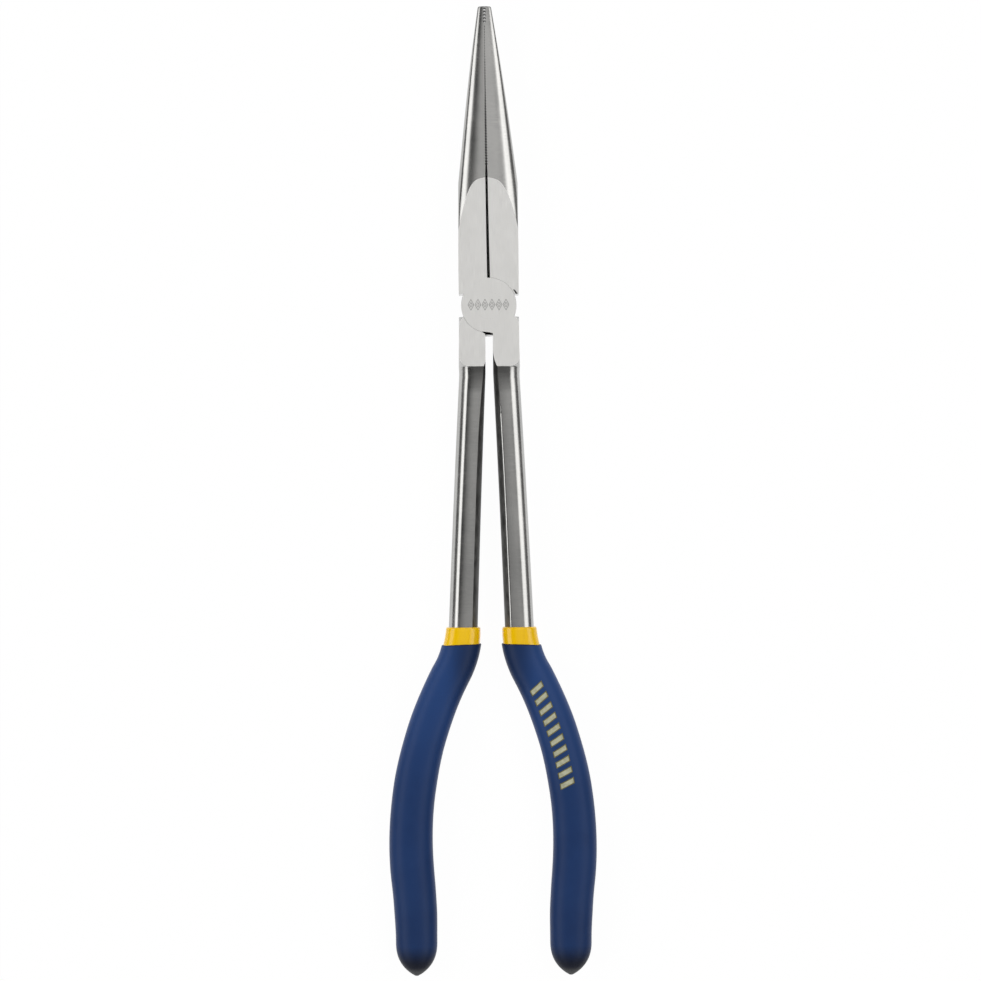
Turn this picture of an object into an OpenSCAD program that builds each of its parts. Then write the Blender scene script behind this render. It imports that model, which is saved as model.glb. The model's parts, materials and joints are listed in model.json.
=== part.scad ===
// Long reach, long nose pliers with two-colour dipped handles, lying flat and closed.
// X is across the jaws, Y runs to the tips, Z points up out of the front face.
// The origin is on the pivot axis, in the plane of the joint's ground back face.

/* [Joint] */
// Ground thickness of the joint, back face to front face
joint_t = 10.5; // [8:0.1:14]
// Radius of the lap joint's round bosses
disc_r = 7.95; // [6:0.05:10]
// Air gap between a boss and the arc cut in the other lever
arc_gap = 0.12; // [0.05:0.01:0.4]
// Air gap between the two levers where they lap
lap_gap = 0.04; // [0.02:0.01:0.1]
// Half width of the joint's cheeks
cheek_half = 8.6; // [6:0.05:11]
// Half height of the notches at the sides, which stop the opening
notch_half = 3.3; // [2:0.1:5]
// End of the ground cheeks towards the handles
cheek_low = -17.6; // [-24:0.1:-12]

/* [Jaws] */
// Length from the pivot to the tips
jaw_len = 86.5; // [60:0.5:120]
// Where the edge of the ground cheek leaves the jaw's side
nose_start = 19.2; // [12:0.1:30]
// Where the ground cheek ends on the centre line
arch_top = 37.3; // [30:0.1:50]
// Where the jaws' sides start to taper
taper_from = 31; // [25:0.5:38]
// Half width of the closed tips
tip_half = 2.1; // [1:0.05:4]
// Thickness at the tips
tip_t = 3.0; // [2:0.1:6]
// Half width of the slit between the jaws at the boss
slit_half = 0.38; // [0.2:0.01:0.8]
// Distance from one tooth to the next
tooth_pitch = 0.8; // [0.6:0.05:1.6]
// Depth of a tooth
tooth_depth = 0.4; // [0.2:0.05:0.8]
// Start of the teeth
teeth_from = 40; // [30:0.5:60]

/* [Arms] */
// Half width of the slot between the arms, just below the joint
slot_half = 1.1; // [0.6:0.05:2]
// Width of an arm below the joint
arm_w0 = 7.6; // [6:0.1:10]
// Width of an arm at the grips
arm_w1 = 8.4; // [6:0.1:11]
// Thickness of an arm
arm_t = 7.6; // [5:0.1:9]

/* [Pivot] */
// Radius of the rivet's shank
rivet_r = 3.0; // [2:0.1:4.5]
// Radius of the rivet's flush ends
rivet_head_r = 3.9; // [2.5:0.1:5.5]
// Depth of the rivet's flush ends
rivet_head_h = 1.2; // [0.6:0.1:2]
// Running clearance round the rivet in the front lever
rivet_gap = 0.05; // [0.01:0.01:0.1]

/* [Grips] */
// Where the yellow undercoat starts, along the arm
sleeve_from = 72.9; // [60:0.1:90]
// Where the blue outer coat starts, along the arm
grip_from = 77.7; // [62:0.1:95]
// Where the steel ends, along the arm
tang_to = 169; // [120:0.5:180]
// Where the grip ends, along the arm
grip_to = 176.3; // [130:0.1:190]
// Thickness of the yellow undercoat
sleeve_wall = 0.9; // [0.4:0.05:1.5]
// Thickness of the grips from front to back
grip_t = 10.4; // [8:0.1:14]
// Width of the grips at the top
grip_w0 = 11.2; // [9:0.1:14]
// Width of the grips at the belly
grip_w1 = 12.4; // [9:0.1:15]
// Width of the grips before the rounded end
grip_w2 = 11.8; // [9:0.1:15]

/* [Hidden] */
$fn = 96;
mid = joint_t / 2;
fit_gap = 0.02;
// The arm's centre line starts here: x, y and heading away from -Y in degrees
start = [4.92, -20, 2.86];
// Each run of the centre line: length and turn in degrees
runs = [[73.3, -0.7], [13.1, 25.64], [61.9, -33.5], [17.4, 5.7], [30, 0]];

function mix(a, b, t) = a + (b - a) * t;
function ease(t) = let(c = min(1, max(0, t))) c * c * (3 - 2 * c);
function arc_end(p, l, a) = abs(a) < 1e-4
    ? [p[0] + l * sin(p[2]), p[1] - l * cos(p[2]), p[2]]
    : let(r = l / a * 180 / PI)
      [p[0] + r * (cos(p[2]) - cos(p[2] + a)), p[1] - r * (sin(p[2] + a) - sin(p[2])), p[2] + a];
function line(s, p = start, i = 0) = (i == len(runs) - 1 || s <= runs[i][0])
    ? arc_end(p, s, runs[i][1] * s / runs[i][0])
    : line(s - runs[i][0], arc_end(p, runs[i][0], runs[i][1]), i + 1);

// A quarter of a superellipse, clockwise from angle a
function corner(cu, cz, ru, rz, a, n, e) = [for (i = [0:n])
    let(t = a - 90 * i / n, c = cos(t), s = sin(t))
    [cu + ru * sign(c) * pow(abs(c), 2 / e), cz + rz * sign(s) * pow(abs(s), 2 / e)]];
// A section with its inner side at ui and outer side at uo, h thick to each side of the middle
function section(ui, uo, h, ri, ru, rz, e = 2, ni = 3, no = 6) = concat(
    corner(ui + ri, h - ri, ri, ri, 180, ni, 2), corner(uo - ru, h - rz, ru, rz, 90, no, e),
    corner(uo - ru, rz - h, ru, rz, 0, no, e), corner(ui + ri, ri - h, ri, ri, -90, ni, 2));
// A section stood across the centre line at s, turned by d, in the right-hand handle
function stand(s, d, sec) = let(p = line(s))
    [for (q = sec) [p[0] + q[0] * cos(d), p[1] + q[0] * sin(d), mid + q[1]]];

module loft(R) {
    n = len(R[0]);
    m = len(R);
    polyhedron(points = [for (r = R) for (p = r) p], faces = concat(
        [[for (i = [n - 1:-1:0]) i]], [[for (i = [0:n - 1]) (m - 1) * n + i]],
        [for (j = [0:m - 2]) for (i = [0:n - 1]) let(k = (i + 1) % n, a = j * n, b = a + n)
            each [[a + i, a + k, b + i], [a + k, b + k, b + i]]]));
}

// Half width of the closed nose, inner face of a jaw, and half thickness of the nose
function nose_half(y) = y < taper_from ? cheek_half
    : y < 41.3 ? cheek_half - 0.82 * pow((y - taper_from) / (41.3 - taper_from), 1.6)
    : mix(cheek_half - 0.82, tip_half, (y - 41.3) / (jaw_len - 41.3));
function face_x(y) = max(0.03, slit_half * (1 - (y - disc_r) / 68));
function nose_h(y) = y < arch_top ? mid - 0.03 : mix(mid - 0.03, tip_t / 2, (y - arch_top) / (jaw_len - arch_top));
// Where the flat cheek's edge is at y
function cheek_edge(y) = let(t = (y - nose_start) / (arch_top - nose_start))
    t > 1 ? 0 : 0.985 * sqrt(1 - t * t);
// The flat on the front of the nose is 0.6 of its width, and rounds off to the side
function nose_sec(y, k = 1) = let(w = nose_half(y) * k, f = face_x(y), h = nose_h(y) * k,
        c = max(cheek_edge(y), 0.5), t = min(1, max(0.01, (y - nose_start) / (arch_top - nose_start))))
    [for (q = section(f, w, h, 0.12, (w - f) * (1 - c), h * mix(0.02, 0.93, pow(t, 2.2)), 2.1)) [-q[0], y, mid + q[1]]];

module nose(phase) {
    difference() {
        loft([nose_sec(nose_start - 0.8), nose_sec(nose_start + 0.01), nose_sec(22), nose_sec(25), nose_sec(28), nose_sec(31),
            nose_sec(33.5), nose_sec(35.5), nose_sec(arch_top), nose_sec(39), nose_sec(41.3), nose_sec(60), nose_sec(jaw_len - 2),
            nose_sec(jaw_len - 0.9, 0.97), nose_sec(jaw_len - 0.25, 0.88), nose_sec(jaw_len, 0.74)]);
        translate([0, 0, -1]) linear_extrude(joint_t + 2) polygon(concat(
            [[1, teeth_from - 1]], [for (i = [0:2 * floor((jaw_len - 0.6 - teeth_from) / tooth_pitch)])
                let(y = teeth_from + (i + phase) * tooth_pitch / 2)
                [-face_x(y) - (i % 2 == 0 ? 0.012 : tooth_depth), y]],
            [[-face_x(jaw_len) - 0.012, jaw_len + 1], [1, jaw_len + 1]]));
    }
}

// Arm below the joint and the steel inside the grip
function arm_w(s) = s < 78 ? mix(arm_w0, arm_w1, s / 78) : mix(arm_w1, 8.0, (s - 78) / 90);
function arm_h(s) = s < 78 ? arm_t / 2 : mix(arm_t / 2, 3.4, (s - 78) / 90);
function arm_sec(s, g = 0, k = 1) = let(w = arm_w(s) * k / 2 + g, h = arm_h(s) * k + g)
    section(-w, w, h, 1.3 * k + g, 2.6 * k + g, 2.9 * k + g);
function across(s, g = 0, k = 1) = stand(s, line(s)[2], arm_sec(s, g, k));
function root_sec(y, xi, xo, h, ri, ru, rz) = [for (q = section(xi, xo, h, ri, ru, rz)) [q[0], y, mid + q[1]]];

module arm() {
    loft(concat([root_sec(cheek_low + 0.8, slot_half + 0.04, cheek_half + 0.16, mid - 0.03, 0.3, 0.3, 0.3),
            root_sec(cheek_low - 0.01, slot_half + 0.04, cheek_half + 0.2, mid - 0.03, 0.5, 0.7, 0.7),
            root_sec(cheek_low - 0.7, slot_half, cheek_half + 0.16, mid - 0.6, 0.9, 1.5, 1.6),
            root_sec(cheek_low - 1.8, slot_half, cheek_half + 0.1, arm_t / 2 + 0.15, 1.2, 2.4, 2.6)],
        [for (s = [2, 10, 20, 34, 48, 62, 72.5, 75, 78, 81, 84, 87, 92, 98, 105, 112, 120, 128, 136, 144, 152, 160]) across(s)],
        [across(tang_to - 3), across(tang_to - 1.2, 0, 0.85), across(tang_to, 0, 0.6)]));
}

module jaw_root() linear_extrude(joint_t) polygon([[-face_x(notch_half), notch_half], [-cheek_half, notch_half],
    [-cheek_half - 0.05, 12], [-cheek_half, nose_start], [-face_x(nose_start), nose_start]]);
module arm_root() linear_extrude(joint_t) polygon([[slot_half, -notch_half], [slot_half, cheek_low],
    [cheek_half + 0.23, cheek_low], [cheek_half + 0.07, -11], [cheek_half + 0.05, -notch_half]]);

// One lever: upper left jaw, front boss and lower right handle
module lever(phase, gap) {
    union() {
        difference() {
            union() {
                difference() {
                    union() {
                        jaw_root();
                        arm_root();
                    }
                    translate([0, 0, -1]) cylinder(r = disc_r + arc_gap, h = mid + lap_gap / 2 + 1);
                }
                translate([0, 0, mid + lap_gap / 2]) cylinder(r = disc_r, h = mid - lap_gap / 2);
            }
            translate([0, 0, -1]) cylinder(r = rivet_r + gap, h = joint_t + 2);
            translate([0, 0, joint_t - rivet_head_h])
                cylinder(r1 = rivet_r + gap, r2 = rivet_head_r + gap, h = rivet_head_h);
        }
        nose(phase);
        arm();
    }
}

module turned() translate([0, 0, joint_t]) rotate([0, 180, 0]) children();

module front_lever() color([0.74, 0.74, 0.73]) lever(0, rivet_gap);
module back_lever() color([0.68, 0.68, 0.67]) turned() lever(1, 0);

module pivot_rivet() color([0.8, 0.8, 0.79]) {
    cylinder(r1 = rivet_head_r, r2 = rivet_r, h = rivet_head_h);
    cylinder(r = rivet_r, h = joint_t);
    translate([0, 0, joint_t - rivet_head_h]) cylinder(r1 = rivet_r, r2 = rivet_head_r, h = rivet_head_h);
}

// The dipped coats start level, so their top edges aren't square to the arm
function level(s, from) = mix(-3, line(s)[2], ease((s - from) / 14));
function slant(s, from, sec) = let(d = level(s, from), c = cos(line(s)[2] - d))
    stand(s, d, [for (q = sec) [q[0] / c, q[1]]]);

// Yellow undercoat: a thin cup over the steel
function sleeve_out(s, g = 0, k = 1) = let(w = (arm_w(s) / 2 + sleeve_wall) * k + g, h = (arm_h(s) + sleeve_wall) * k + g)
    section(-w, w, h, 2.4 * k + g, 3.2 * k + g, 3.4 * k + g);
module sleeve() {
    loft(concat(
        [slant(tang_to + 1.4, sleeve_from, sleeve_out(tang_to, 0, 0.55)), slant(tang_to + 0.6, sleeve_from, sleeve_out(tang_to, 0, 0.8)),
            slant(tang_to - 1.5, sleeve_from, sleeve_out(tang_to, 0, 0.97))],
        [for (s = [160, 152, 144, 136, 128, 120, 112, 105, 98, 92, 88, 85, 82, 79.5, 77.7, 75.5, 74]) slant(s, sleeve_from, sleeve_out(s))],
        [slant(sleeve_from + 0.3, sleeve_from, sleeve_out(sleeve_from, -0.12)), slant(sleeve_from, sleeve_from, sleeve_out(sleeve_from, -0.5)),
            slant(sleeve_from, sleeve_from, arm_sec(sleeve_from, fit_gap)), slant(74, sleeve_from, arm_sec(74, fit_gap))],
        [for (s = [75, 78, 81, 84, 87, 92, 98, 105, 112, 120, 128, 136, 144, 152, 160]) across(s, fit_gap)],
        [across(tang_to - 3, fit_gap), across(tang_to - 1.2, fit_gap, 0.85), across(tang_to + 0.02, fit_gap, 0.6)]));
}

// Blue outer coat: a thicker cup over the undercoat
function grip_w(s) = s < 92 ? grip_w0 : s < 140 ? mix(grip_w0, grip_w1, ease((s - 92) / 48)) : mix(grip_w1, grip_w2, ease((s - 145) / 20));
function grip_sec(s, k = 1) = let(w = grip_w(s) / 2 * k, h = min(grip_t / 2, arm_h(s) + sleeve_wall + 0.45 + 0.06 * (s - grip_from)) * k)
    section(-w, w, h, 3.6 * k, 4.4 * k, 4.2 * k, 2.2);
module grip() {
    dome = 10;
    loft(concat(
        [for (t = [1, 0.985, 0.94, 0.86, 0.74, 0.58, 0.38, 0.18])
            slant(grip_to - dome * (1 - t), grip_from, grip_sec(grip_to - dome, max(0.08, pow(1 - pow(t, 2.6), 1 / 2.2))))],
        [for (s = [164, 158, 152, 146, 140, 133, 126, 119, 112, 105, 99, 94, 90, 87, 84, 81, 79]) slant(s, grip_from, grip_sec(s))],
        [slant(grip_from, grip_from, grip_sec(grip_from, 0.985)), slant(grip_from, grip_from, sleeve_out(grip_from, fit_gap))],
        [for (s = [79.5, 82, 85, 88, 92, 98, 105, 112, 120, 128, 136, 144, 152, 160]) slant(s, sleeve_from, sleeve_out(s, fit_gap))],
        [slant(tang_to - 1.5, sleeve_from, sleeve_out(tang_to, fit_gap, 0.97)), slant(tang_to + 0.6, sleeve_from, sleeve_out(tang_to, fit_gap, 0.8)),
            slant(tang_to + 1.42, sleeve_from, sleeve_out(tang_to, fit_gap, 0.55))]));
}

module right_sleeve() color([0.95, 0.74, 0.05]) sleeve();
module left_sleeve() color([0.95, 0.74, 0.05]) turned() sleeve();
module right_grip() color([0.15, 0.24, 0.42]) grip();
module left_grip() color([0.15, 0.24, 0.42]) turned() grip();

front_lever();
back_lever();
pivot_rivet();
right_sleeve();
left_sleeve();
right_grip();
left_grip();
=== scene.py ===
"""Long reach, long nose pliers with dipped handles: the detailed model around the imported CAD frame.

Shapes are worked out in millimetres about the joint's middle plane (X across, Y to the tips,
Z towards the front face), and go into the row frame, in metres, when a mesh is made.
"""
import json
import math

import bmesh
import bpy
import numpy as np
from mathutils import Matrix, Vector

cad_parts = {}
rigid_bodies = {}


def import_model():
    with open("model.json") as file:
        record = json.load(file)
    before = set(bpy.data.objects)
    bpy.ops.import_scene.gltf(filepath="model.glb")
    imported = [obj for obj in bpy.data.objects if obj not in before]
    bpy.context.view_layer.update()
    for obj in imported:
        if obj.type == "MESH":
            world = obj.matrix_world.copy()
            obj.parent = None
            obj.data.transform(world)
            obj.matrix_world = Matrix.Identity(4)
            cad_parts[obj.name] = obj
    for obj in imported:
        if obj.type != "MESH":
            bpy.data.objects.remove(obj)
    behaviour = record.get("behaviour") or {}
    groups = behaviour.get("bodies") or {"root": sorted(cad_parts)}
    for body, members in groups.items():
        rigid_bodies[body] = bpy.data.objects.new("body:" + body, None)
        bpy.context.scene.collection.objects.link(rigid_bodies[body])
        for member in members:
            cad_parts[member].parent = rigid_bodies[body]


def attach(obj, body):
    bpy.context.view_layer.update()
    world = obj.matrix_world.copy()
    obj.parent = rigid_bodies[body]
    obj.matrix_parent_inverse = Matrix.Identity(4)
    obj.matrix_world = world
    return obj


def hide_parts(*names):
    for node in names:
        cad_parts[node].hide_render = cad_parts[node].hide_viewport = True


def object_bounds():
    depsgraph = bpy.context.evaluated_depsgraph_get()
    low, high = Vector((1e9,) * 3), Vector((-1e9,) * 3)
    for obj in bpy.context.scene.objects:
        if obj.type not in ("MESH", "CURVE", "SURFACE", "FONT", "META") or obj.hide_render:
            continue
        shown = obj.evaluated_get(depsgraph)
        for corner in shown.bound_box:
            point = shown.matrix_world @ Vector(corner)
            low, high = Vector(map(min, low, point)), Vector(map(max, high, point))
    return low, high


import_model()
CAD_BOX = [list(corner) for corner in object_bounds()]

MM = 0.001
MID = 5.25          # half the ground thickness, and the height of the middle plane
CHEEK = 8.6         # half width of the parallel joint
JAW_LEN = 86.6
TIP_HALF = 1.95     # half width and half thickness of the closed tips
TIP_H = 1.5
NOSE_TAPER = 0.1292  # loss of half width and of half thickness per millimetre of nose
NOSE_FALL = 0.0755
NOSE_FROM = 28.0
NOSE_BULGE = 0.33   # how far the nose's sides swell past a straight taper
# Superellipse power of the nose's section at two places along it, and how far the jaw's
# side is cut back to an upright flat
NOSE_POWER = {"front": ((40, 62), (3.5, 3.05)), "back": ((40, 62), (3.5, 3.5))}
SIDE_FLAT = {"front": 0.2, "back": 0.38}
CROWN = 0.03        # height of the low crown along the slit
SHUT = 0.002        # half gap where the jaws meet, in the middle plane
LEAN = 0.78         # the jaws' middle line stands off to the left, more towards the tips
LEAN_FROM = 8.0
LEAN_RUN = 42.0
DISC_R = 7.95
ARC_GAP = 0.014
EDGE = 0.04         # broken edges round the ground faces
NOTCH = 3.3
CHEEK_LOW = -17.6   # lower edge of the ground cheek
SLOT = 1.1
RIVET_R = 3.0
RIVET_END_R = 3.88
RIVET_END_H = 1.2
RIVET_GAP = 0.004
TEETH_FROM = 40.5
PITCH = 0.8
WEB = 0.5           # half height of the plain strip between the finer teeth
TIP_TEETH = 5
TIP_PITCH = 0.93
TIP_PLAIN = 0.75    # from the last coarse tooth to the end
TIP_TOOTH = 0.42
FACE = -0.001       # where the teeth's crests lie
SLEEVE_FROM = 72.8  # along the arm's centre line
SLEEVE_TILT = 0.0   # degrees that each coat's upper edge is off level
GRIP_FROM = 77.8
GRIP_TILT = -1.9
DOME_FROM = 166     # where the grips begin to close
GRIP_TO = 176.3

# ---------------------------------------------------------------- camera, light and floor

VIEW_WIDTH = 283.02     # millimetres across the square view, at the object
AIM = (0.07, -53.32)    # the point looked straight down on
ROLL = math.radians(0.45)
LENS = 120.0
SENSOR = 36.0


def add_camera():
    data = bpy.data.cameras.new("camera")
    data.lens = LENS
    data.sensor_width = SENSOR
    height = VIEW_WIDTH * LENS / SENSOR + 8.0
    camera = bpy.data.objects.new("camera", data)
    bpy.context.scene.collection.objects.link(camera)
    camera.location = (AIM[0] * MM, AIM[1] * MM, height * MM)
    camera.rotation_euler = (0, 0, -ROLL)
    bpy.context.scene.camera = camera


class Graph:
    """Short calls for building a node tree."""

    def __init__(self, tree):
        self.tree = tree
        tree.nodes.clear()

    def node(self, kind, **settings):
        n = self.tree.nodes.new(kind)
        for key, value in settings.items():
            setattr(n, key, value)
        return n

    def link(self, source, target):
        self.tree.links.new(source, target)

    def put(self, socket, value):
        if isinstance(value, bpy.types.NodeSocket):
            self.link(value, socket)
        else:
            socket.default_value = value

    def math(self, op, a, b=0.0, c=None, clamp=False):
        n = self.node("ShaderNodeMath", operation=op, use_clamp=clamp)
        self.put(n.inputs[0], a)
        self.put(n.inputs[1], b)
        if c is not None:
            self.put(n.inputs[2], c)
        return n.outputs[0]

    def ramp(self, x, x0, x1, y0=0.0, y1=1.0):
        """A smooth step from y0 at x0 to y1 at x1."""
        n = self.node("ShaderNodeMapRange", interpolation_type="SMOOTHSTEP")
        for i, v in enumerate((x, x0, x1, y0, y1)):
            self.put(n.inputs[i], v)
        return n.outputs[0]

    def curve(self, x, points, x0, x1, top=2.0):
        """A smooth curve through points given as (x, y), from x0 to x1, y up to top."""
        n = self.node("ShaderNodeFloatCurve")
        curve = n.mapping.curves[0]
        spots = [((a - x0) / (x1 - x0), b / top) for a, b in points]
        curve.points[0].location = spots[0]
        curve.points[1].location = spots[-1]
        for spot in spots[1:-1]:
            curve.points.new(*spot)
        for point in curve.points:
            point.handle_type = "AUTO_CLAMPED"
        n.mapping.update()
        self.put(n.inputs["Value"], self.ramp_linear(x, x0, x1))
        return self.math("MULTIPLY", n.outputs[0], top)

    def ramp_linear(self, x, x0, x1, y0=0.0, y1=1.0):
        n = self.node("ShaderNodeMapRange")
        for i, v in enumerate((x, x0, x1, y0, y1)):
            self.put(n.inputs[i], v)
        return n.outputs[0]

    def mix(self, a, b, factor):
        n = self.node("ShaderNodeMix", data_type="RGBA")
        self.put(n.inputs[0], factor)
        for socket, v in ((n.inputs[6], a), (n.inputs[7], b)):
            self.put(socket, v if isinstance(v, bpy.types.NodeSocket) else (*v, 1.0))
        return n.outputs[2]


# Radiance of the studio by angle from straight up, to the left (-) and right (+)
STUDIO = ((-90, 0.14), (-80, 0.1), (-70, 0.12), (-66, 0.6), (-62, 1.5), (-58, 1.6),
          (-38, 1.6), (-33, 1.15), (-29, 0.35), (-25, 0.08), (-15, 0.06), (-10, 0.12),
          (-7, 0.2), (-4, 0.34), (0, 0.43), (6, 0.42), (9, 0.37), (13, 0.32), (17, 0.34),
          (20, 0.5), (23, 0.9), (27, 1.45), (30, 1.55), (46, 1.55), (51, 1.0), (56, 0.35),
          (62, 0.16), (75, 0.14), (90, 0.16))
POWER = 1.22
# How the overhead part changes from the handles' end (-) to the tips' end (+)
OVERHEAD = ((-90, 0.9), (-70, 0.8), (-52, 0.3), (-40, 0.28), (-20, 0.56), (-3, 0.8),
            (2, 1.07), (9, 1.42), (22, 1.6), (90, 1.6))


def add_world():
    """A studio in the world shader: two long softboxes, grey overhead, dark at the horizon.

    It lights the tool and shows in its steel; past the floor's edge there is plain pale paper.
    """
    world = bpy.data.worlds.new("studio")
    bpy.context.scene.world = world
    world.use_nodes = True
    g = Graph(world.node_tree)
    xyz = g.node("ShaderNodeSeparateXYZ")
    g.link(g.node("ShaderNodeTexCoord").outputs["Generated"], xyz.inputs[0])
    x, y, z = xyz.outputs
    tilt = g.math("MULTIPLY", g.math("ARCTAN2", x, z), 180 / math.pi)
    lean = g.math("MULTIPLY", g.math("ARCSINE", y), 180 / math.pi)
    across = g.curve(tilt, STUDIO, -90, 90)
    ahead = g.curve(lean, OVERHEAD, -90, 90)
    box = g.ramp(g.math("ABSOLUTE", tilt), 16, 36)
    ends = g.ramp(g.math("ABSOLUTE", lean), 30, 46, 1.0, 0.5)
    factor = g.math("ADD", g.math("MULTIPLY", ahead, g.math("SUBTRACT", 1.0, box)),
                    g.math("MULTIPLY", ends, box))
    back = g.node("ShaderNodeBackground")
    back.inputs["Color"].default_value = (1.0, 0.995, 0.985, 1)
    g.link(g.math("MULTIPLY", g.math("MULTIPLY", across, factor), POWER), back.inputs["Strength"])
    paper = g.node("ShaderNodeBackground")
    paper.inputs["Color"].default_value = (1, 1, 1, 1)
    paper.inputs["Strength"].default_value = 0.95
    both = g.node("ShaderNodeMixShader")
    g.link(g.node("ShaderNodeLightPath").outputs["Is Camera Ray"], both.inputs[0])
    g.link(back.outputs[0], both.inputs[1])
    g.link(paper.outputs[0], both.inputs[2])
    g.link(both.outputs[0], g.node("ShaderNodeOutputWorld").inputs[0])


def add_floor():
    size, steps = 0.9, 12
    verts = [((i / steps - 0.5) * 2 * size, (j / steps - 0.5) * 2 * size, 0)
             for j in range(steps + 1) for i in range(steps + 1)]
    row = steps + 1
    faces = [(j * row + i, j * row + i + 1, (j + 1) * row + i + 1, (j + 1) * row + i)
             for j in range(steps) for i in range(steps)]
    mesh = bpy.data.meshes.new("floor")
    mesh.from_pydata(verts, [], faces)
    floor = bpy.data.objects.new("floor", mesh)
    bpy.context.scene.collection.objects.link(floor)
    floor.location.z = CAD_BOX[0][2] - 0.0002
    material = bpy.data.materials.new("floor_white")
    material.use_nodes = True
    g = Graph(material.node_tree)
    shader = g.node("ShaderNodeBsdfPrincipled")
    shader.inputs["Base Color"].default_value = (0.03, 0.03, 0.03, 1)
    shader.inputs["Roughness"].default_value = 0.9
    shader.inputs["Specular IOR Level"].default_value = 0.0
    shader.inputs["Emission Color"].default_value = (1, 1, 1, 1)
    shader.inputs["Emission Strength"].default_value = 0.975
    g.link(shader.outputs[0], g.node("ShaderNodeOutputMaterial").inputs[0])
    mesh.materials.append(material)


# ---------------------------------------------------------------- meshes

def make_object(name, verts, faces):
    """An object from millimetres about the middle plane."""
    mesh = bpy.data.meshes.new(name)
    co = np.asarray(verts, float) * MM
    co[:, 2] += MID * MM
    mesh.from_pydata(co.tolist(), [], faces)
    mesh.validate()
    obj = bpy.data.objects.new(name, mesh)
    bpy.context.scene.collection.objects.link(obj)
    return obj


def loft(name, rings, caps=(True, True)):
    """A skin over rings of equal count, closed round, with flat ends; doubled points are merged."""
    rings = np.asarray(rings, float)
    m, n, _ = rings.shape
    faces = []
    for j in range(m - 1):
        a, b = j * n, (j + 1) * n
        faces += [(a + i, a + (i + 1) % n, b + (i + 1) % n, b + i) for i in range(n)]
    if caps[0]:
        faces.append(tuple(range(n - 1, -1, -1)))
    if caps[1]:
        faces.append(tuple((m - 1) * n + i for i in range(n)))
    obj = make_object(name, rings.reshape(-1, 3), faces)
    clean(obj)
    return obj


def clean_normals(obj):
    bm = bmesh.new()
    bm.from_mesh(obj.data)
    bmesh.ops.recalc_face_normals(bm, faces=bm.faces)
    bm.to_mesh(obj.data)
    bm.free()


def clean(obj):
    bm = bmesh.new()
    bm.from_mesh(obj.data)
    bmesh.ops.remove_doubles(bm, verts=bm.verts, dist=2e-7)
    bmesh.ops.dissolve_degenerate(bm, edges=bm.edges, dist=1e-7)
    bmesh.ops.recalc_face_normals(bm, faces=bm.faces)
    bm.to_mesh(obj.data)
    bm.free()


def prism(name, outline, z0, z1):
    """An outline in XY, given anticlockwise, pulled from z0 to z1."""
    n = len(outline)
    verts = [(x, y, z0) for x, y in outline] + [(x, y, z1) for x, y in outline]
    faces = [tuple(range(n - 1, -1, -1)), tuple(range(n, 2 * n))]
    faces += [(i, (i + 1) % n, n + (i + 1) % n, n + i) for i in range(n)]
    return make_object(name, verts, faces)


def lathe(name, profile, steps=160):
    """Radius and height pairs turned about Z, closed at both ends."""
    angles = np.arange(steps) * 2 * math.pi / steps
    rings = [[(r * math.cos(a), r * math.sin(a), z) for a in angles] for r, z in profile]
    return loft(name, rings)


def combine(obj, other, how):
    """Boolean of obj with other, which is used up."""
    modifier = obj.modifiers.new("b", "BOOLEAN")
    modifier.operation = how
    modifier.solver = "MANIFOLD"
    modifier.object = other
    graph = bpy.context.evaluated_depsgraph_get()
    mesh = bpy.data.meshes.new_from_object(obj.evaluated_get(graph))
    obj.modifiers.clear()
    obj.data = mesh
    bpy.data.objects.remove(other)
    return obj


def is_groove(polygon):
    x, y, z = polygon.center / MM
    return math.hypot(x, y) < 7 and z > 2 * MID - STAMP_DEPTH - 0.01


def turn_over(obj):
    """Half a turn about Y through the middle plane: the other lever's side."""
    co = np.array([v.co for v in obj.data.vertices])
    co[:, 0] *= -1
    co[:, 2] = 2 * MID * MM - co[:, 2]
    obj.data.vertices.foreach_set("co", co.ravel())
    obj.data.update()
    return obj


def lean(obj):
    """Set the jaws' middle over to the left; the joint's sides stay where they are."""
    co = np.array([v.co for v in obj.data.vertices])
    rise = np.clip(co[:, 1] / MM - LEAN_FROM, 0, None)
    part = 1 - np.clip(np.abs(co[:, 0]) / (CHEEK * MM), 0, 1) ** 2
    co[:, 0] -= LEAN * MM * (1 - np.exp(-rise / LEAN_RUN)) * part
    obj.data.vertices.foreach_set("co", co.ravel())
    obj.data.update()
    return obj


def shade(obj, angle=32.0):
    """Smooth, with sharp edges where it turns more than angle and round each ground face."""
    mesh = obj.data
    mesh.shade_smooth()
    mesh.set_sharp_from_angle(angle=math.radians(angle))
    ground = [is_ground(p) for p in mesh.polygons]
    if not any(ground):
        return
    uses = {}
    for p in mesh.polygons:
        for key in p.edge_keys:
            uses.setdefault(key, []).append(p.index)
    sharp = mesh.attributes.get("sharp_edge") or mesh.attributes.new(
        "sharp_edge", "BOOLEAN", "EDGE")
    for edge in mesh.edges:
        both = uses.get(edge.key, [])
        if len(both) == 2 and ground[both[0]] != ground[both[1]]:
            sharp.data[edge.index].value = True


def is_ground(polygon):
    return abs(polygon.normal.z) > 0.99995 and abs(
        abs(polygon.center.z - MID * MM) - MID * MM) < 2e-6


# ---------------------------------------------------------------- sections

def resample(points, count):
    """count points at equal steps along a polyline, ends kept."""
    points = np.asarray(points, float)
    step = np.hypot(*np.diff(points, axis=0).T)
    run = np.concatenate([[0], np.cumsum(step)])
    at = np.linspace(0, run[-1], count)
    return np.stack([np.interp(at, run, points[:, 0]), np.interp(at, run, points[:, 1])], 1)


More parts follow.
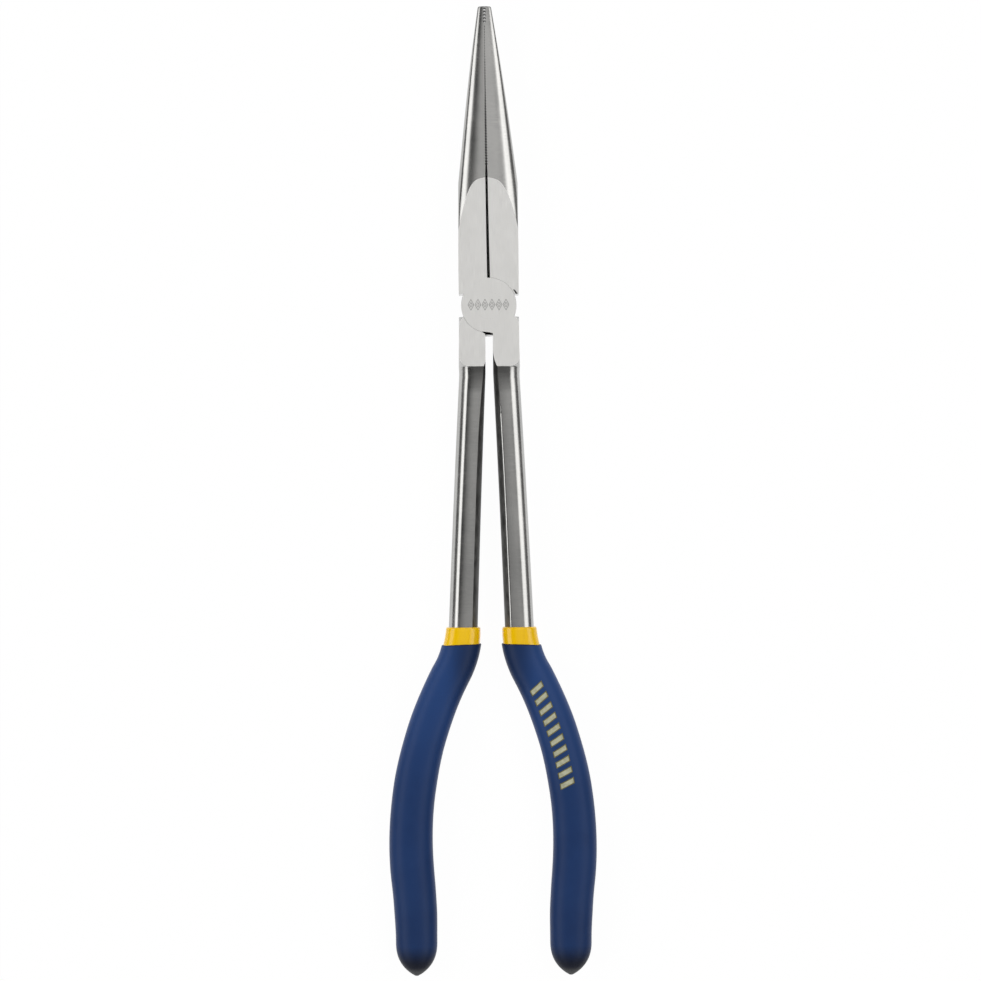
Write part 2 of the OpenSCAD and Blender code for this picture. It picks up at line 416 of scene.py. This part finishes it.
def clip_top(points, top):
    """The part of a rising polyline below the height top."""
    z = points[:, 1]
    over = np.nonzero(z > top)[0]
    if not len(over):
        return points
    i = over[0]
    t = (top - z[i - 1]) / (z[i] - z[i - 1])
    x = points[i - 1, 0] + t * (points[i, 0] - points[i - 1, 0])
    return np.vstack([points[:i], [[x, top]]])


def quarter(ru, rz, power, count=60):
    """A superellipse quarter from (0, rz) to (ru, 0)."""
    t = np.linspace(0, math.pi / 2, count)
    return np.stack([ru * np.sin(t) ** (2 / power), rz * np.cos(t) ** (2 / power)], 1)


def closed_ring(half, place):
    """Both halves of a section, front and back, set in space by place(u, z)."""
    back = half[-2:0:-1] * [1, -1]
    return [place(u, z) for u, z in np.vstack([half, back])]


def soft_min(a, limit, width):
    """The smaller of a and limit, rounded over where they meet."""
    return 0.5 * (a + limit - np.sqrt((a - limit) ** 2 + width ** 2))


# ---------------------------------------------------------------- the jaws

# The slit's half width and the finer teeth's depth, each at heights along the jaws
SLIT = ((8, 20, 38, 42, 52, 62, 72), (0.42, 0.39, 0.34, 0.13, 0.1, 0.06, 0.02))
FINE_TOOTH = ((40, 48, 57, 62, 70, 73), (0.4, 0.36, 0.28, 0.17, 0.15, 0.08))
# The rounded tip: distance back from the end, and the section's scale there
TIP_ROUND = ((0.5, 1.0), (0.32, 0.985), (0.16, 0.95), (0.05, 0.9), (0.0, 0.84))


def slit_x(y):
    """Half width of the slit at the jaws' front and back edges."""
    return float(np.interp(y, *SLIT))


def jaw_half(y, side):
    """Half section of the left jaw's blank at y, clipped by the ground planes; u is -x."""
    t = max(0.0, (y - NOSE_FROM) / (JAW_LEN - NOSE_FROM))
    power = float(np.interp(y, *NOSE_POWER[side]))
    w = TIP_HALF + SIDE_FLAT[side] + NOSE_TAPER * (JAW_LEN - y)
    w += NOSE_BULGE * math.sin(math.pi * t ** 1.3)
    b = TIP_H + NOSE_FALL * (JAW_LEN - y)
    f = slit_x(y)
    curve = quarter(w, b, power, 400)
    curve = curve[curve[:, 0] > f]
    top = b * (1 - (f / w) ** power) ** (1 / power)
    curve = np.vstack([[f, top], curve])
    crown = curve[:, 0] ** 2
    curve[:, 1] = np.maximum(curve[:, 1] - CROWN * crown / (crown + 1), 0)
    limit = CHEEK + 0.02 + 0.05 * math.exp(-((y - 12) / 8) ** 2)
    curve[:, 0] = soft_min(curve[:, 0], min(limit, w - SIDE_FLAT[side]), 0.2)
    curve[0, 0] = f
    flank = clip_top(curve[::-1], MID)[::-1]
    edge = min(top, MID)
    wall = resample([[min(f, SHUT), 0], [f, edge]], 7)
    flat = resample([[f, edge], flank[0]], 12)
    return np.vstack([wall, flat[1:], resample(flank, 44)[1:]])


def jaw(name, side):
    ys = np.concatenate([
        np.arange(NOTCH, 20, 0.6), np.arange(20, 30, 0.4), np.arange(30, 35.4, 0.2),
        np.arange(35.4, 37.6, 0.06), np.arange(37.6, JAW_LEN - 0.6, 0.5)])
    rings = []
    for y in ys:
        rings.append(closed_ring(jaw_half(y, side), lambda u, z, y=y: (-u, y, z)))
    for back, scale in TIP_ROUND:
        y = JAW_LEN - back
        half = jaw_half(y, side)
        half[:, 0] = half[0, 0] + (half[:, 0] - half[0, 0]) * scale
        half[:, 1] *= scale
        rings.append(closed_ring(half, lambda u, z, y=y: (-u, y, z)))
    return loft(name, rings)


def teeth_cutter(start, stop, pitch, deep, z0, z1):
    """Grooves across the left jaw's inner face, from start up to stop."""
    outline = [(1.0, start - 0.3), (1.0, stop + 0.9), (FACE, stop + 0.9)]
    y = stop
    while y > start:
        depth = deep(y)
        outline += [(FACE, y + 0.34 * pitch), (-depth, y + 0.2 * pitch),
                    (-depth, y - 0.2 * pitch), (FACE, y - 0.34 * pitch)]
        y -= pitch
    outline.append((FACE, start - 0.3))
    return prism("cut", outline, z0, z1)


def fine_tooth(y):
    """Depth of the finer teeth's grooves from the middle line."""
    return float(np.interp(y, *FINE_TOOTH))


def cut_teeth(body):
    """Coarse teeth right through at the tips, finer ones on both edges below them."""
    top = JAW_LEN - TIP_PLAIN
    tip = top - TIP_TEETH * TIP_PITCH
    combine(body, teeth_cutter(tip, top, TIP_PITCH, lambda y: TIP_TOOTH, -8, 8), "DIFFERENCE")
    for z0, z1 in ((WEB, 8), (-8, -WEB)):
        combine(body, teeth_cutter(TEETH_FROM, tip - 0.5, PITCH, fine_tooth, z0, z1),
                "DIFFERENCE")
    return body


# ---------------------------------------------------------------- the arms

START = (4.92, -20.0, 2.86)   # x, y and heading away from -Y in degrees
RUNS = ((73.3, -0.7), (13.1, 25.64), (61.9, -33.5), (17.4, 5.7), (30.0, 0.0))


def line(s):
    """The right arm's centre line: x, y and heading at s."""
    x, y, h = START
    for i, (length, turn) in enumerate(RUNS):
        d = s if i == len(RUNS) - 1 else min(s, length)
        a = turn * d / length
        if abs(a) < 1e-4:
            x += d * math.sin(math.radians(h))
            y -= d * math.cos(math.radians(h))
        else:
            r = d / math.radians(a)
            x += r * (math.cos(math.radians(h)) - math.cos(math.radians(h + a)))
            y -= r * (math.sin(math.radians(h + a)) - math.sin(math.radians(h)))
            h += a
        s -= d
        if s <= 0:
            break
    return x, y, h


def stand(s, degrees, half):
    """A half section set across the centre line at s, turned by degrees."""
    x, y, _ = line(s)
    c, d = math.cos(math.radians(degrees)), math.sin(math.radians(degrees))
    return closed_ring(half, lambda u, z: (x + u * c, y + u * d, z))


def turned_side(turns):
    """The rounded side as (distance in from the edge, drop below the flat), flat end first."""
    points, drop = [(turns[-1][0], 0.0)], 0.0
    for (d1, a1), (d0, a0) in zip(turns[::-1], turns[-2::-1]):
        a0, a1 = math.radians(a0), math.radians(a1)
        radius = (d1 - d0) / (math.sin(a0) - math.sin(a1))
        for a in np.linspace(a1, a0, 14)[1:]:
            points.append((d1 - radius * (math.sin(a) - math.sin(a1)),
                           drop + radius * (math.cos(a1) - math.cos(a))))
        drop = points[-1][1]
    return np.array(points)


def arm_half(xi, xo, h, inner, turns):
    """Half section between xi and xo, h thick: a bevel (ru, rz, power) and a turned side."""
    ru, rz, power = inner
    q = quarter(ru, rz, power, 80)
    left = np.stack([xi + ru - q[::-1, 0], h - rz + q[::-1, 1]], 1)
    left = clip_top(np.vstack([[xi, 0], left]) if h > rz else left, MID)
    side = turned_side(turns)
    right = np.vstack([np.stack([xo - side[:, 0], h - side[:, 1]], 1), [xo, 0]])
    right = clip_top(right[::-1], MID)[::-1]
    flat = resample([left[-1], right[0]], 8)
    if h < MID:
        t = (right[0, 0] - flat[:, 0]) / max(0.1, right[0, 0] - left[-1, 0])
        lower = ARM_CROWN * min(1.0, (MID - h) / 1.2) * t
        flat[:, 1] -= lower * t
        drop = flat[0, 1] - left[-1, 1]
        left[:, 1] += drop * np.clip(left[:, 1] / h, 0, 1)
    return np.vstack([resample(left, 20), flat[1:], resample(right, 40)[1:]])


ARM_CROWN = 0.05    # how much lower the arm's flat is at its inner edge

# Each arm's outer side: distance in from the edge and tilt there in degrees. The two arms
# are belted by hand, so they differ a little.
TURNS = {"front": ((0, 90), (0.55, 50), (1.5, 26.5), (2.6, 12), (3.0, 5), (4.2, 0)),
         "back": ((0, 90), (0.8, 47), (1.8, 32), (2.5, 15.5), (2.85, 7), (3.6, 3.2), (4.8, 0))}
# Each arm's inner bevel: its width and height from the cheek's end on, and its power
BEVELS = {"front": (((-17.6, 1.3), (-25, 1.55), (-35, 1.7), (-50, 1.8)),
                    ((-17.6, 4.0), (-25, 3.0), (-35, 2.6)), 1.3),
          "back": (((-17.6, 0.55), (-20, 0.7), (-25, 1.0), (-35, 1.4), (-50, 1.55)),
                   ((-17.6, 1.7), (-20, 1.8), (-25, 2.2), (-35, 2.6)), 1.22)}


def bevel(name, y):
    widths, heights, power = BEVELS[name]
    return tuple(float(np.interp(-y, *zip(*((-a, b) for a, b in keys))))
                 for keys in (widths, heights)) + (power,)


def arm_height(y):
    d = y - CHEEK_LOW
    if d >= 0:
        return MID + 1.2 * d - 0.08 * d * d
    t = max(0.0, 1 + d / 7.4)
    return 3.75 + 1.5 * t * t


def arm_width(s):
    return 7.6 + 0.8 * min(1, s / 78)


def arm(side):
    rings = []
    for y in np.concatenate([np.arange(-NOTCH, -12, -0.6), np.arange(-12, -19.6, -0.12)]):
        out = np.interp(y, (-20, -17.6, -11, -3.3), (8.72, 8.84, 8.67, 8.65))
        half = arm_half(SLOT, out, arm_height(y), bevel(side, y), TURNS[side])
        rings.append(closed_ring(half, lambda u, z, y=y: (u, y, z)))
    for s in np.concatenate([np.arange(0.9, 6, 0.3), np.arange(6, 92, 1.0)]):
        w = arm_width(s) / 2
        y = line(s)[1]
        half = arm_half(-w, w, arm_height(y), bevel(side, y), TURNS[side])
        rings.append(stand(s, line(s)[2], half))
    return loft("arm", rings)


def lever(name, side):
    """Left jaw, front boss and right arm, in one piece."""
    body = combine(jaw(name, side), arm(side), "UNION")
    back_space = lathe("cut", [(DISC_R + ARC_GAP, -8), (DISC_R + ARC_GAP, 0.02)])
    body = combine(body, back_space, "DIFFERENCE")
    boss = lathe("boss", [(DISC_R, 0.02), (DISC_R, MID - EDGE), (DISC_R - EDGE, MID)])
    body = combine(body, boss, "UNION")
    crotch = [(-SLOT + 0.04, -7.0), (-SLOT + 0.04, -8.45), (SLOT + 0.3, -8.55),
              (SLOT + 0.3, -7.0)]
    body = combine(body, prism("crotch", crotch, 0.02, MID), "UNION")
    bore, mouth = RIVET_R + RIVET_GAP, RIVET_END_R + RIVET_GAP
    hole = lathe("cut", [(bore, -1), (bore, MID - RIVET_END_H), (mouth, MID), (mouth, MID + 1)])
    body = combine(body, hole, "DIFFERENCE")
    body = cut_teeth(body)
    if side == "front":
        body = stamp(body)
    for front in (True, False):
        body = combine(body, eye_cutter(front), "DIFFERENCE")
    body = combine(body, prism("cut", WEDGE, -8, WEDGE_DEEP - MID), "DIFFERENCE")
    mark(body)
    return body


# Outline and depth of the small hollow beside the notch, on the face away from the boss
WEDGE = ((-7.0, 4.5), (-7.55, 4.4), (-8.4, 3.2), (-7.85, 3.1))
WEDGE_DEEP = 1.6
STAMPS = 6
STAMP_STEP = 2.02
STAMP_HALF = (0.84, 1.55)   # half width and half height of a lozenge
STAMP_LINE = 0.08
STAMP_DEPTH = 0.12
EYE_DEEP = 2.2


def lozenge_groove(x, y, size, base):
    """Points and faces of a closed groove round a lozenge, its points counted from base."""
    w, h = STAMP_HALF[0] * size, STAMP_HALF[1] * size
    slant = math.hypot(w, h) / max(w, h) * STAMP_LINE
    verts = []
    for z in (MID - STAMP_DEPTH, MID + 0.5):
        for grow in (slant, -slant):
            a, b = w + grow * 0.7, h + grow
            verts += [(x + a, y, z), (x, y + b, z), (x - a, y, z), (x, y - b, z)]
    faces = []
    for i in range(4):
        j = (i + 1) % 4
        faces += [(i, j, 8 + j, 8 + i), (4 + j, 4 + i, 12 + i, 12 + j),
                  (j, i, 4 + i, 4 + j), (8 + i, 8 + j, 12 + j, 12 + i)]
    return verts, [tuple(base + i for i in face) for face in faces]


def stamp(obj):
    """The row of lozenges on the boss, one within the other."""
    verts, faces = [], []
    for k in range(STAMPS):
        x = (k - (STAMPS - 1) / 2) * STAMP_STEP - 0.1
        for size in (1.0, 0.45):
            v, f = lozenge_groove(x, 0.15, size, len(verts))
            verts += v
            faces += f
    cutter = make_object("cut", verts, faces)
    clean_normals(cutter)
    return combine(obj, cutter, "DIFFERENCE")


def eye_cutter(front):
    """The pointed hollow where the boss meets the end of the slot, on one face."""
    outline = [(1.12, -9.0), (1.12, -8.1), (0.2, -7.82), (-0.9, -7.66), (-1.95, -7.56),
               (-1.6, -7.94), (-1.13, -8.25), (-1.02, -9.0)][::-1]
    if front:
        return prism("cut", outline, MID - EYE_DEEP, 8)
    return prism("cut", [(-x, y) for x, y in outline[::-1]], -8, EYE_DEEP - MID)


def mark(obj):
    """Material slots: 0 forged, 1 ground, 2 painted dark shade, 3 painted shade on the arms' inner
    sides, for the front lever unturned.
    """
    for p in obj.data.polygons:
        x, y, z = p.center / MM
        n = p.normal
        inner_side = y < -8.8 and n.x < -0.55
        jaw_face = y > 4 and x > -1.3 and (n.x > 0.3 or abs(z - MID) < 1.0)
        jaw_face = jaw_face or (y > TEETH_FROM - 1 and x > -1.0 and abs(n.y) > 0.4)
        eye = abs(x) < 2.1 and -8.7 < y < -7.3 and n.y > -0.6
        wedge = -8.5 < x < -6.9 and 3 < y < 4.6 and z < 2
        if is_ground(p):
            p.material_index = 1
        # painted shade: the slit's faces and teeth, the pocket at the slot's end, the hollow beside
        # the notch and the stamp's grooves
        elif jaw_face or eye or wedge or is_groove(p):
            p.material_index = 2
        # painted shade: the arms' inner sides
        elif inner_side:
            p.material_index = 3


def rivet(name):
    flare = MID - RIVET_END_H
    obj = lathe(name, [(RIVET_END_R, -MID), (RIVET_R, -flare), (RIVET_R, flare),
                       (RIVET_END_R, MID)])
    obj = stamp(obj)
    for p in obj.data.polygons:
        # the stamp's grooves take slot 2, the painted dark shade
        p.material_index = 1 if is_ground(p) else 2 if is_groove(p) else 0
    return obj


# ---------------------------------------------------------------- the dipped coats

def ease(t):
    t = min(1.0, max(0.0, t))
    return t * t * (3 - 2 * t)


def level(s, start):
    """The coats start almost level, as dipped, and then turn square to the arm."""
    tilt = SLEEVE_TILT if start == SLEEVE_FROM else GRIP_TILT
    return tilt + (line(s)[2] - tilt) * ease((s - start) / 14)


def oval(w, h, power):
    """Half of a superellipse section, w and h its half sizes."""
    q = quarter(w, h, power, 200)
    return resample(np.vstack([q[::-1] * [-1, 1], q[1:]]), 61)


def coat_ring(s, start, w, h, power):
    d = level(s, start)
    return stand(s, d, oval(w / math.cos(math.radians(line(s)[2] - d)), h, power))


def sleeve(name):
    rings = []
    rim = [(0.55, 0.0), (0.3, 0.05), (0.12, 0.18), (0.03, 0.36), (0.0, 0.6)]
    for inset, along in rim:
        s = SLEEVE_FROM + along
        rings.append(coat_ring(s, SLEEVE_FROM, arm_width(s) / 2 + 0.82 - inset,
                               3.75 + 0.8 - inset, 2.9))
    for s in np.arange(SLEEVE_FROM + 1, 84, 0.4):
        flare = 0.82 + 0.16 * (s - SLEEVE_FROM) / 5
        rings.append(coat_ring(s, SLEEVE_FROM, arm_width(s) / 2 + flare, 4.55, 2.9))
    return loft(name, rings)


def grip_width(s):
    keys = ((77.7, 11.2), (90, 11.4), (106, 11.85), (122, 12.35), (145, 12.68), (156, 12.42),
            (166, 12.0))
    return smooth_through(keys, s)


def smooth_through(keys, s):
    """A value eased from key to key."""
    if s <= keys[0][0]:
        return keys[0][1]
    for (a, va), (b, vb) in zip(keys, keys[1:]):
        if s <= b:
            return va + (vb - va) * ease((s - a) / (b - a))
    return keys[-1][1]


GRIP_POWER = 2.35
NUB = 0.85          # half width of the drip that dipping leaves at the end


def grip_depth(s):
    return smooth_through(((77.7, 10.0), (86, 10.3), (110, 10.4), (150, 10.4), (166, 10.2)), s)


def grip(name):
    rings = []
    for inset, along in ((0.34, 0.0), (0.16, 0.06), (0.05, 0.17), (0.0, 0.36)):
        s = GRIP_FROM + along
        rings.append(coat_ring(s, GRIP_FROM, grip_width(s) / 2 - inset,
                               grip_depth(s) / 2 - inset, GRIP_POWER))
    for s in np.arange(GRIP_FROM + 0.8, DOME_FROM, 0.8):
        rings.append(coat_ring(s, GRIP_FROM, grip_width(s) / 2,
                               grip_depth(s) / 2, GRIP_POWER))
    dome = GRIP_TO - DOME_FROM
    for t in np.concatenate([np.linspace(0.02, 0.9, 26), np.linspace(0.91, 0.985, 10)]):
        shrink = (1 - t ** 2.6) ** 0.8
        nub = NUB * math.sqrt(max(0.0, 1 - ((t - 0.93) / 0.07) ** 2)) if t > 0.93 else NUB
        w = max(grip_width(DOME_FROM) / 2 * shrink, nub)
        h = max(grip_depth(DOME_FROM) / 2 * shrink, nub)
        rings.append(coat_ring(DOME_FROM + dome * t, GRIP_FROM, w, h, GRIP_POWER - 0.3 * t))
    return loft(name, rings)


PRINTS = 10
PRINT_FROM = 90.6      # along the right arm's centre line
PRINT_STEP = 3.22
PRINT_HALF = 1.9       # half a bar's length across the grip
PRINT_OFF = -0.75      # how far the row is off the centre line
PRINT_LINE = 1.3       # a bar's thickness
PRINT_SLANT = 0.32     # how far a bar leans for each millimetre across


def on_grip(s, u, lift):
    """A point over the front of the right grip."""
    w, h, power = grip_width(s) / 2, grip_depth(s) / 2, GRIP_POWER
    x, y, a = line(s)
    z = h * (1 - min(0.99, abs(u) / w) ** power) ** (1 / power)
    a = math.radians(level(s, GRIP_FROM))
    return x + u * math.cos(a), y + u * math.sin(a), z + lift


def bar(s0, grow, lift):
    """One closed slanted bar laid on the grip, wider by grow on every side."""
    verts, faces = [], []
    us = np.linspace(-PRINT_HALF - grow, PRINT_HALF + grow, 15)
    n = len(us)
    for depth in (lift, -0.12):
        for t in (-grow, PRINT_LINE / 2, PRINT_LINE + grow):
            for u in us:
                s = s0 + t - PRINT_SLANT * u
                verts.append(on_grip(s, u + PRINT_OFF, depth))
    for row in range(2):
        for i in range(n - 1):
            a, b = row * n + i, (row + 1) * n + i
            faces += [(a, a + 1, b + 1, b), (3 * n + a, 3 * n + b, 3 * n + b + 1, 3 * n + a + 1)]
    rim = list(range(n)) + [2 * n - 1] + list(range(3 * n - 1, 2 * n - 1, -1)) + [n]
    for i, a in enumerate(rim):
        b = rim[(i + 1) % len(rim)]
        faces.append((a, 3 * n + a, 3 * n + b, b))
    return verts, faces


def grip_print(name):
    verts, faces, slots = [], [], []
    for k in range(PRINTS):
        for slot, (grow, lift) in enumerate(((0.0, 0.05), (0.28, 0.025))):
            v, f = bar(PRINT_FROM + k * PRINT_STEP, grow, lift)
            faces += [tuple(i + len(verts) for i in face) for face in f]
            slots += [slot] * len(f)
            verts += v
    obj = make_object(name, verts, faces)
    clean_normals(obj)
    obj.data.polygons.foreach_set("material_index", slots)
    return obj


# ---------------------------------------------------------------- materials

def material(name):
    m = bpy.data.materials.new(name)
    m.use_nodes = True
    g = Graph(m.node_tree)
    shader = g.node("ShaderNodeBsdfPrincipled")
    g.link(shader.outputs[0], g.node("ShaderNodeOutputMaterial").inputs[0])
    return m, g, shader


def stretched_noise(g, scale, detail=4.0, size=1.0):
    """Noise in object coordinates, its cells stretched by scale per axis."""
    coord = g.node("ShaderNodeTexCoord").outputs["Object"]
    mapping = g.node("ShaderNodeMapping")
    g.link(coord, mapping.inputs[0])
    mapping.inputs["Scale"].default_value = scale
    noise = g.node("ShaderNodeTexNoise")
    g.link(mapping.outputs[0], noise.inputs["Vector"])
    noise.inputs["Scale"].default_value = size
    noise.inputs["Detail"].default_value = detail
    return noise.outputs["Fac"]


def bump(g, shader, height, strength, distance):
    n = g.node("ShaderNodeBump")
    n.inputs["Strength"].default_value = strength
    n.inputs["Distance"].default_value = distance
    g.link(height, n.inputs["Height"])
    g.link(n.outputs[0], shader.inputs["Normal"])


def ground_steel():
    """The joint's cheeks: surface ground, with faint marks along the tool."""
    m, g, shader = material("ground_steel")
    marks = stretched_noise(g, (9000, 260, 1), 5)
    cloud = stretched_noise(g, (260, 160, 160), 3)
    tone = g.math("ADD", g.math("MULTIPLY", marks, 0.6), g.math("MULTIPLY", cloud, 0.4))
    g.link(g.mix((0.93, 0.926, 0.908), (0.99, 0.985, 0.97), g.ramp(tone, 0.3, 0.7)),
           shader.inputs["Base Color"])
    shader.inputs["Metallic"].default_value = 1.0
    g.link(g.ramp(marks, 0.2, 0.8, 0.4, 0.54), shader.inputs["Roughness"])
    bump(g, shader, marks, 0.12, 0.00004)
    return m


def forged_steel():
    """The nose and arms: forged, then polished, with fine marks across the jaws, and painted shade
    along their sides near the middle plane.
    """
    m, g, shader = material("forged_steel")
    marks = stretched_noise(g, (500, 7000, 500), 4)
    cloud = stretched_noise(g, (180, 90, 180), 3)
    tone = g.math("ADD", g.math("MULTIPLY", marks, 0.5), g.math("MULTIPLY", cloud, 0.5))
    position = g.node("ShaderNodeSeparateXYZ")
    g.link(g.node("ShaderNodeTexCoord").outputs["Object"], position.inputs[0])
    height = g.math("ABSOLUTE", g.math("SUBTRACT", position.outputs[2], MID * MM))
    # painted shade: within about 2 mm of the middle plane the colour falls to 0.55 of itself,
    # standing in for the dark reflection along the sides
    painted_side_shade = g.ramp(height, 0.0004, 0.0022, 0.55, 1.0)
    colour = g.mix((0.431, 0.431, 0.424), (0.542, 0.537, 0.525), g.ramp(tone, 0.3, 0.7))
    g.link(g.mix((0.0, 0.0, 0.0), colour, painted_side_shade), shader.inputs["Base Color"])
    shader.inputs["Metallic"].default_value = 1.0
    g.link(g.ramp(tone, 0.3, 0.7, 0.15, 0.24), shader.inputs["Roughness"])
    bump(g, shader, tone, 0.1, 0.00004)
    return m


def dark_shade_steel(name, low, high, metallic):
    """Steel painted dark as painted shade: the arms' inner sides, the jaws' faces and teeth in the
    slit, the hollows and the stamp's grooves.
    """
    m, g, shader = material(name)
    cloud = stretched_noise(g, (700, 300, 700), 4)
    g.link(g.mix(low, high, g.ramp(cloud, 0.3, 0.7)), shader.inputs["Base Color"])
    shader.inputs["Metallic"].default_value = metallic
    shader.inputs["Specular IOR Level"].default_value = 0.25
    g.link(g.ramp(cloud, 0.3, 0.7, 0.38, 0.5), shader.inputs["Roughness"])
    bump(g, shader, cloud, 0.2, 0.0001)
    return m


def dip(name, colour, deep, roughness, specular, painted_shade_tone=None):
    """Soft vinyl coat with a faint ripple; if asked, with light and shade painted into its colour on
    the grip, the given colour being the painted shade's dark tone.
    """
    m, g, shader = material(name)
    ripple = stretched_noise(g, (120, 90, 120), 2)
    grain = stretched_noise(g, (1800, 1800, 1800), 3)
    tone = g.mix(deep, colour, g.ramp(ripple, 0.3, 0.7))
    if painted_shade_tone:
        shader.inputs["IOR"].default_value = 1.32
        place = g.node("ShaderNodeSeparateXYZ")
        g.link(g.node("ShaderNodeTexCoord").outputs["Object"], place.inputs[0])
        # Darker towards the grip's end: partly painted shade where the end turns down and away from
        # the light, partly a darker coat there
        end = g.ramp(place.outputs[1], -0.1825, -0.1905)
        far = g.ramp(place.outputs[1], -0.16, -0.184, 0.0, 0.15)
        top = g.ramp(place.outputs[1], -0.122, -0.103)
        inner = g.ramp(g.math("ABSOLUTE", place.outputs[0]), 0.0125, 0.0052)
        outer = g.ramp(g.math("ABSOLUTE", place.outputs[0]), 0.008, 0.0145)
        upper = g.ramp(place.outputs[1], -0.15, -0.105)
        # painted light: the outer side near the top lightened to 1.38 times the coat's colour
        light = tuple(1.38 * c for c in colour)
        tone = g.mix(tone, light, g.math("MULTIPLY", outer, upper))
        # painted shade: the inner side just below the collar, which the other handle shades, darkened
        tone = g.mix(tone, painted_shade_tone, g.math("MULTIPLY", g.math("MULTIPLY", top, inner), 0.4))
        tone = g.mix(tone, painted_shade_tone, g.math("MAXIMUM", end, far))
        # painted sheen: the last two millimetres of the grip's end go to a light grey
        tone = g.mix(tone, (0.055, 0.057, 0.06), g.ramp(place.outputs[1], -0.1907, -0.1925))
        # painted shadow: a thin dark band along the grip's upper edge, under the collar
        rim = g.math("MULTIPLY_ADD", g.math("ABSOLUTE", place.outputs[0]), 0.033, place.outputs[1])
        tone = g.mix(tone, painted_shade_tone, g.ramp(rim, -0.0979, -0.0974, 0.0, 0.85))
    g.link(tone, shader.inputs["Base Color"])
    g.link(g.ramp(grain, 0.3, 0.7, roughness - 0.05, roughness + 0.05),
           shader.inputs["Roughness"])
    shader.inputs["Specular IOR Level"].default_value = specular
    height = g.math("ADD", g.math("MULTIPLY", ripple, 0.8), g.math("MULTIPLY", grain, 0.06))
    bump(g, shader, height, 0.25, 0.0003)
    return m


def ink(name, low, high):
    """Screen printing, unevenly laid."""
    m, g, shader = material(name)
    cloud = stretched_noise(g, (900, 900, 900), 3)
    g.link(g.mix(low, high, g.ramp(cloud, 0.35, 0.65)), shader.inputs["Base Color"])
    g.link(g.ramp(cloud, 0.3, 0.7, 0.4, 0.55), shader.inputs["Roughness"])
    shader.inputs["Specular IOR Level"].default_value = 0.3
    return m


# ---------------------------------------------------------------- building

def dress(obj, body, slot, materials, *nodes):
    index = [p.material_index for p in obj.data.polygons]
    obj.data.materials.clear()
    for m in materials:
        obj.data.materials.append(m)
    obj.data.polygons.foreach_set("material_index", index)
    shade(obj)
    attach(obj, body)
    if nodes:
        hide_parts(*nodes)


add_camera()
add_world()
add_floor()
bpy.context.scene.view_settings.view_transform = "Standard"

# painted shade: dark grey diffuse steel on the slit's faces and teeth, the pocket at the slot's end,
# the hollow beside the notch and the stamp's grooves
DARK = dark_shade_steel("hollow_painted_shade", (0.05, 0.05, 0.049), (0.09, 0.09, 0.087), 0.0)
# painted shade: darker steel on the arms' inner sides, where the arms face each other
ARM_INNER_SHADE = dark_shade_steel("arm_inner_painted_shade", (0.13, 0.13, 0.127), (0.22, 0.22, 0.214), 1.0)
YELLOW = dip("yellow_vinyl", (1.0, 0.61, 0.0), (0.98, 0.585, 0.0), 0.11, 0.6)
# the blue coat's last colour is the dark tone of its painted shade
BLUE = dip("blue_vinyl", (0.0145, 0.043, 0.143), (0.012, 0.037, 0.127), 0.42, 0.34,
           (0.0085, 0.011, 0.022))
CREAM = ink("print_cream", (0.40, 0.40, 0.27), (0.52, 0.52, 0.38))
OLIVE = ink("print_olive", (0.12, 0.11, 0.025), (0.17, 0.155, 0.04))

STEEL = (forged_steel(), ground_steel(), DARK, ARM_INNER_SHADE)
dress(lean(lever("lever_front", "front")), "front", "forged_steel", STEEL, "front_lever")
dress(lean(turn_over(lever("lever_back", "back"))), "back", "forged_steel", STEEL,
      "back_lever")
dress(rivet("rivet_flush"), "back", "rivet_steel", STEEL, "pivot_rivet")
dress(sleeve("sleeve_right_coat"), "front", "yellow_dip", (YELLOW,), "right_sleeve")
dress(turn_over(sleeve("sleeve_left_coat")), "back", "yellow_dip", (YELLOW,), "left_sleeve")
dress(grip("grip_right_coat"), "front", "blue_dip", (BLUE,), "right_grip")
dress(grip_print("grip_print"), "front", None, (CREAM, OLIVE))
dress(turn_over(grip("grip_left_coat")), "back", "blue_dip", (BLUE,), "left_grip")

for o in bpy.context.scene.objects:
    if o.type == "MESH" and not o.hide_render:
        print("piece", o.name, len(o.data.polygons))
